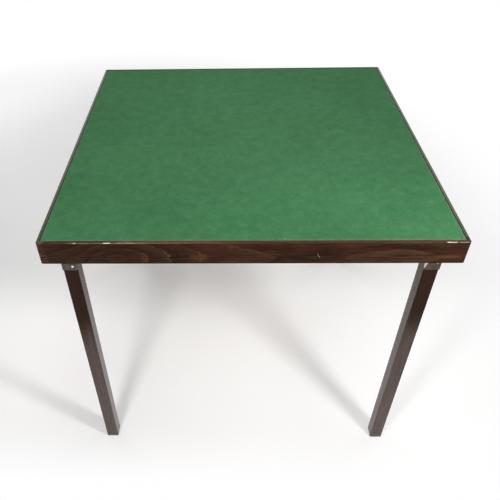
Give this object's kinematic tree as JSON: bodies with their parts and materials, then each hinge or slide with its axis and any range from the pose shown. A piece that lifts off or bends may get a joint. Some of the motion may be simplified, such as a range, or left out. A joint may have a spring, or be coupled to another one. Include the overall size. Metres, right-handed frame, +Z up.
{
  "type": "folding card table",
  "caption": "Square card table with a cloth-covered panel in a plain wooden frame and square wooden legs that fold in along the rails on pressed steel corner brackets.",
  "frame": {"origin": "on the floor under the middle of the top", "axes": "+Z up, -Y towards the front of the table as pictured, +X to its right"},
  "size_m": [0.76, 0.76, 0.676],
  "materials": {
    "rail_wood": "dark stained and varnished, worn to bare wood along the top edge",
    "panel_wood": "bare plywood",
    "batten_wood": "bare planed softwood",
    "baize": "matt napped wool baize",
    "leg_wood": "dark stained, satin",
    "channel_steel": "pressed steel, dulled",
    "bracket_steel": "pressed steel, dulled",
    "rivet_steel": "bright steel with tarnish round the heads",
    "spacer_steel": "turned steel",
    "spring_steel": "blued spring steel",
    "screw_steel": "slotted steel screws, flush"
  },
  "bodies": {
    "root": {"front_rail": "rail_wood", "right_rail": "rail_wood", "back_rail": "rail_wood", "left_rail": "rail_wood", "top_panel": "panel_wood", "baize": "baize", "left_batten": "batten_wood", "right_batten": "batten_wood", "front_left_corner_bracket": "bracket_steel", "front_left_pivot_rivet": "rivet_steel", "front_left_pivot_spacers": "spacer_steel", "front_left_leaf_spring": "spring_steel", "front_right_corner_bracket": "bracket_steel", "front_right_pivot_rivet": "rivet_steel", "front_right_pivot_spacers": "spacer_steel", "front_right_leaf_spring": "spring_steel", "back_right_corner_bracket": "bracket_steel", "back_right_pivot_rivet": "rivet_steel", "back_right_pivot_spacers": "spacer_steel", "back_right_leaf_spring": "spring_steel", "back_left_corner_bracket": "bracket_steel", "back_left_pivot_rivet": "rivet_steel", "back_left_pivot_spacers": "spacer_steel", "back_left_leaf_spring": "spring_steel", "bracket_screws": "screw_steel", "spring_rivets": "rivet_steel"},
    "front_left_leg_body": {"front_left_leg": "leg_wood", "front_left_leg_channel": "channel_steel", "front_left_channel_rivets": "rivet_steel"},
    "front_right_leg_body": {"front_right_leg": "leg_wood", "front_right_leg_channel": "channel_steel", "front_right_channel_rivets": "rivet_steel"},
    "back_right_leg_body": {"back_right_leg": "leg_wood", "back_right_leg_channel": "channel_steel", "back_right_channel_rivets": "rivet_steel"},
    "back_left_leg_body": {"back_left_leg": "leg_wood", "back_left_leg_channel": "channel_steel", "back_left_channel_rivets": "rivet_steel"}
  },
  "joints": [
    {"name": "front_left_leg_fold", "type": "hinge", "parent": "root", "child": "front_left_leg_body", "pos_m": [-0.3391, -0.3391, 0.6461], "axis": [0, -1, 0], "range_deg": [0, 90], "deforming": ["front_left_leaf_spring"]},
    {"name": "front_right_leg_fold", "type": "hinge", "parent": "root", "child": "front_right_leg_body", "pos_m": [0.3391, -0.3391, 0.6461], "axis": [1, 0, 0], "range_deg": [0, 90], "deforming": ["front_right_leaf_spring"]},
    {"name": "back_right_leg_fold", "type": "hinge", "parent": "root", "child": "back_right_leg_body", "pos_m": [0.3391, 0.3391, 0.6461], "axis": [0, 1, 0], "range_deg": [0, 90], "deforming": ["back_right_leaf_spring"]},
    {"name": "back_left_leg_fold", "type": "hinge", "parent": "root", "child": "back_left_leg_body", "pos_m": [-0.3391, 0.3391, 0.6461], "axis": [-1, 0, 0], "range_deg": [0, 90], "deforming": ["back_left_leaf_spring"]}
  ]
}
